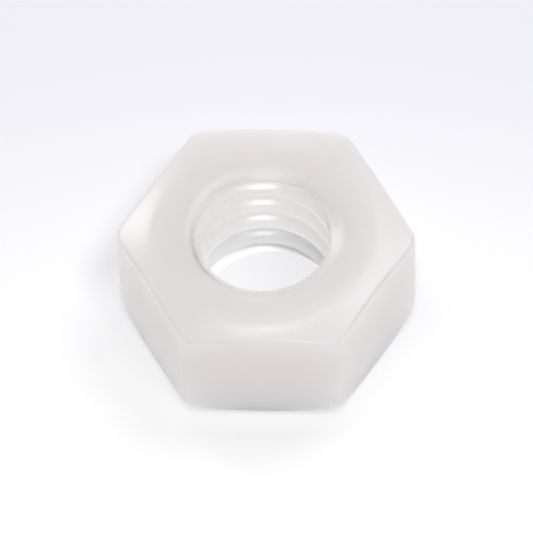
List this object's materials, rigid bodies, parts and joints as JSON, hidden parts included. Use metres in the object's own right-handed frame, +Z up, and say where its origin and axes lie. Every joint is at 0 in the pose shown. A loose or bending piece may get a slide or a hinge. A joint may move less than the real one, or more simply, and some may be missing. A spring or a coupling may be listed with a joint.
{
  "type": "plastic nut",
  "caption": "Milky natural nylon hexagon nut with rounded corners, chamfered faces and a countersunk threaded bore.",
  "frame": {"origin": "centre of the lower bearing face, on the bore's axis", "axes": "+Z up along the bore's axis; two flats face -Y and +Y, and two upright edges lie on the X axis"},
  "size_m": [0.0112, 0.01, 0.005],
  "materials": {
    "nylon": "satin"
  },
  "bodies": {
    "root": {"nut": "nylon"}
  },
  "joints": []
}
